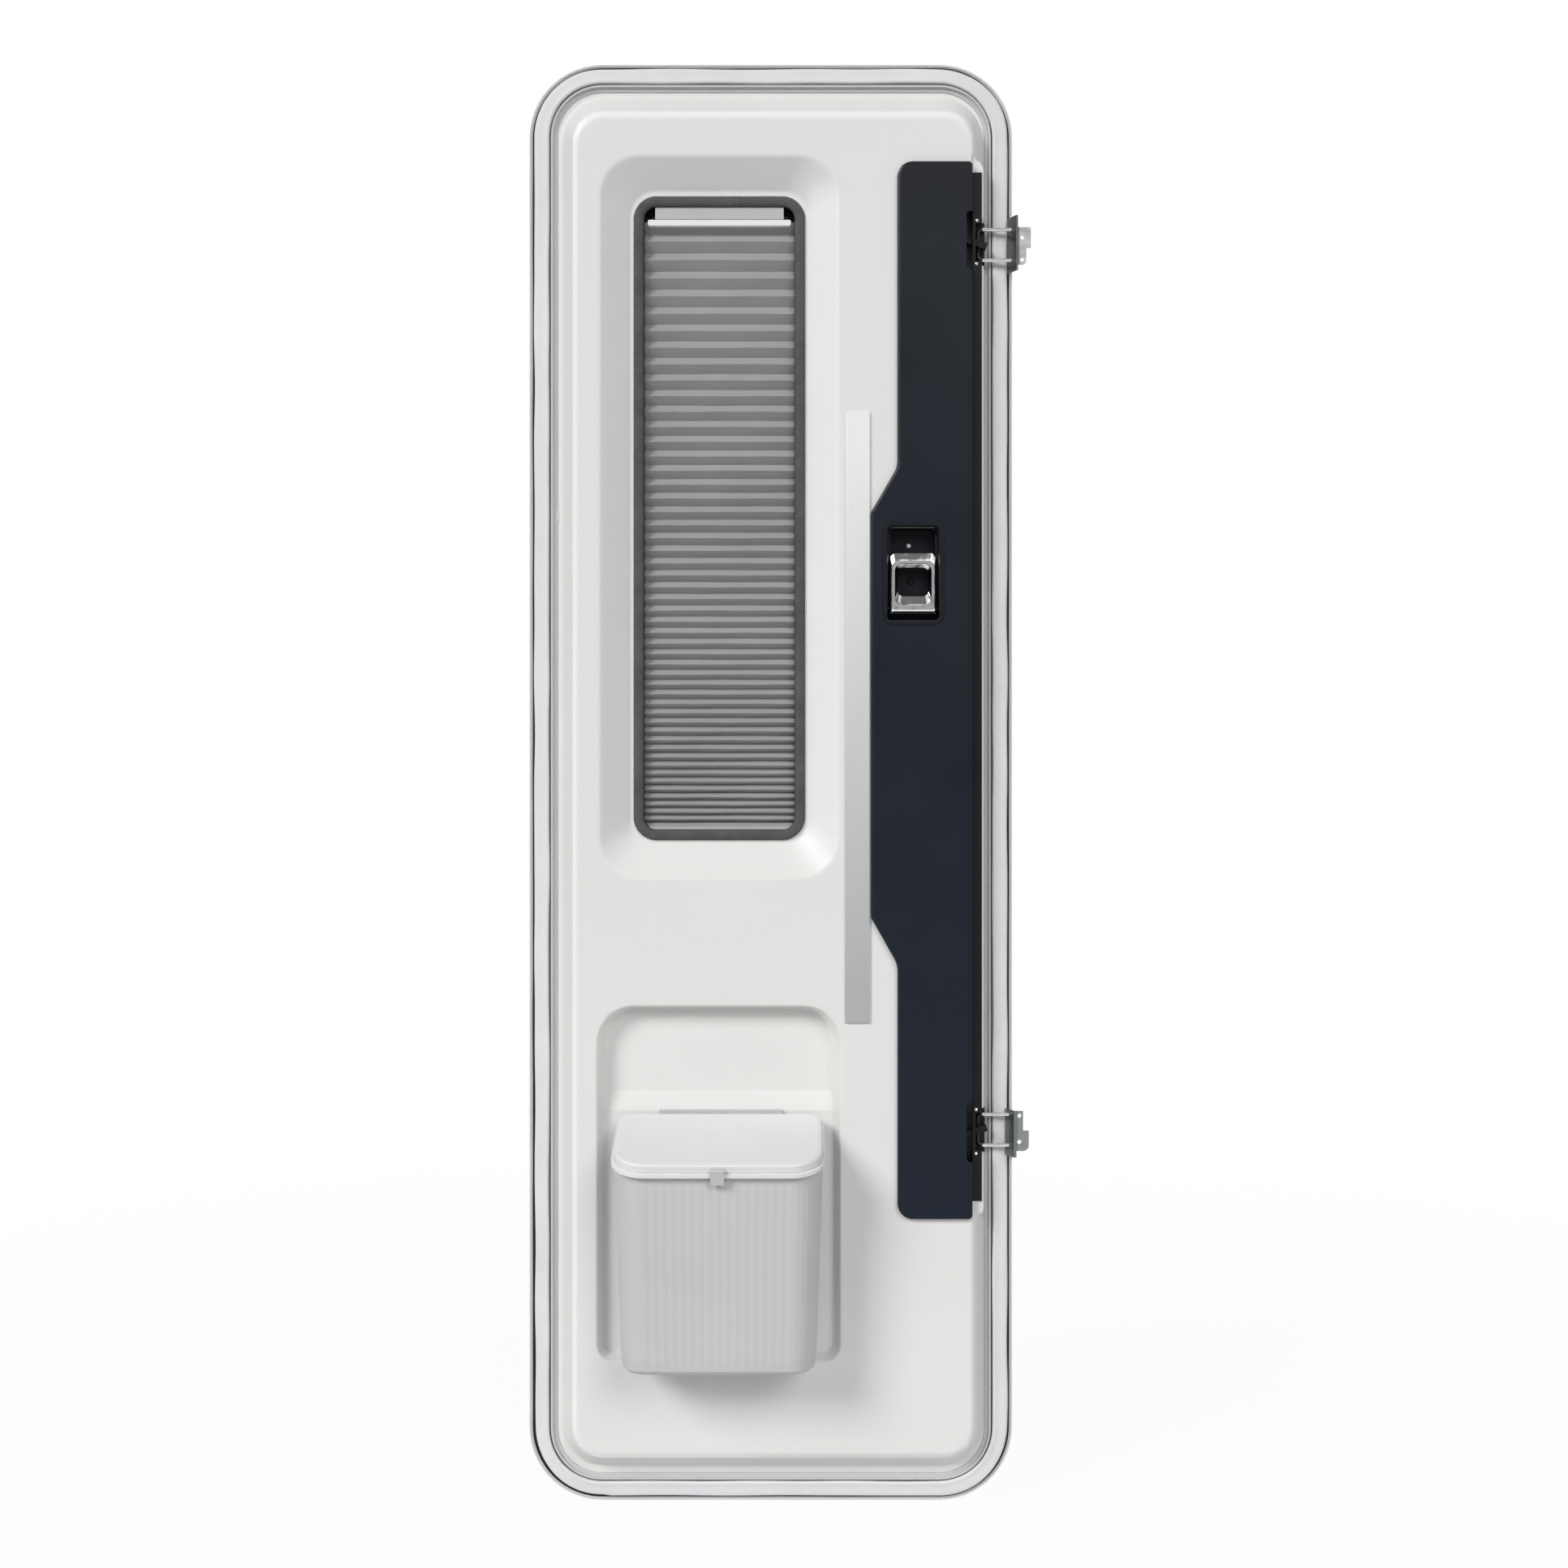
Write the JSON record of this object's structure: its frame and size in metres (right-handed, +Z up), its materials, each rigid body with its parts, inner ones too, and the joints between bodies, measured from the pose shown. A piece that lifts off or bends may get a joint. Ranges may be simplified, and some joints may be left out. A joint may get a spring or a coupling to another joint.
{
  "type": "caravan entry door leaf",
  "caption": "Caravan entry door leaf with moulded liner, blind window, hanging waste bin, hook lock worked by a pull handle, and wall strikers.",
  "frame": {"origin": "on the flat hinge edge of the leaf, at its mid height and mid thickness", "axes": "+X from the hinge edge to the lock edge, +Y from the room to the outside, +Z up"},
  "size_m": [0.6145, 0.1772, 1.768],
  "materials": {
    "white_skin": "gloss",
    "white_profile": "satin",
    "foam": "matt",
    "grey_seal": "matt",
    "white_moulding": "fine grain",
    "dark_rubber": "matt",
    "tinted_pane": "polished",
    "black_plastic": "fine grain",
    "blind_cloth": "pleated",
    "bin_grey": "satin",
    "bin_white": "gloss",
    "bin_lid_plastic": "satin",
    "silver": "anodised",
    "zinc": "zinc plated",
    "chrome": "polished",
    "black_metal": "satin black"
  },
  "bodies": {
    "root": {"outer_skin": "white_skin", "edge_profile": "white_profile", "foam_core": "foam", "main_seal": "grey_seal", "seal_channel": "white_profile", "inner_liner": "white_moulding", "window_frame": "dark_rubber", "window_pane": "tinted_pane", "window_trim": "dark_rubber", "blind_frame": "black_plastic", "blind_cassette": "blind_cloth", "blind_rail": "white_profile", "blind_pleats": "blind_cloth", "blind_foot": "blind_cloth", "bin_hanger": "bin_grey", "bin_body": "bin_grey", "bin_rim": "bin_white", "bin_hinge_pin": "zinc", "silver_strip": "silver", "lock_cover": "black_plastic", "handle_pocket": "black_plastic", "pocket_screw": "zinc", "handle_pin": "zinc", "lock_faceplate": "black_metal", "upper_latch_case": "black_metal", "lower_latch_case": "black_metal", "upper_hook_pin": "black_metal", "lower_hook_pin": "black_metal", "upper_striker_loop": "zinc", "lower_striker_loop": "zinc", "upper_striker_bracket": "zinc", "lower_striker_bracket": "zinc", "outer_handle_dish": "black_plastic", "outer_handle": "black_plastic", "key_cylinder": "zinc"},
    "handle": {"inside_handle": "chrome"},
    "upper_hook_body": {"upper_hook": "black_metal"},
    "lower_hook_body": {"lower_hook": "black_metal"},
    "lid": {"bin_lid": "bin_lid_plastic", "bin_clip": "bin_grey"}
  },
  "joints": [
    {"name": "handle_pull", "type": "hinge", "parent": "root", "child": "handle", "pos_m": [0.4705, -0.041, 0.212], "axis": [1, 0, 0], "range_deg": [0, 36], "stiffness_Nm_per_rad": 0.6, "springref_deg": -20.05},
    {"name": "upper_hook_turn", "type": "hinge", "parent": "root", "child": "upper_hook_body", "pos_m": [0.533, -0.033, 0.6635], "axis": [0, -1, 0], "range_deg": [0, 90]},
    {"name": "lower_hook_turn", "type": "hinge", "parent": "root", "child": "lower_hook_body", "pos_m": [0.533, -0.033, -0.4305], "axis": [0, 1, 0], "range_deg": [0, 90]},
    {"name": "lid_lift", "type": "hinge", "parent": "root", "child": "lid", "pos_m": [0.236, -0.036, -0.41025], "axis": [-1, 0, 0], "range_deg": [0, 95]}
  ],
  "couplings": [
    {"joint": "upper_hook_turn", "follows": "handle_pull", "ratio": 2.5},
    {"joint": "lower_hook_turn", "follows": "handle_pull", "ratio": 2.5}
  ]
}
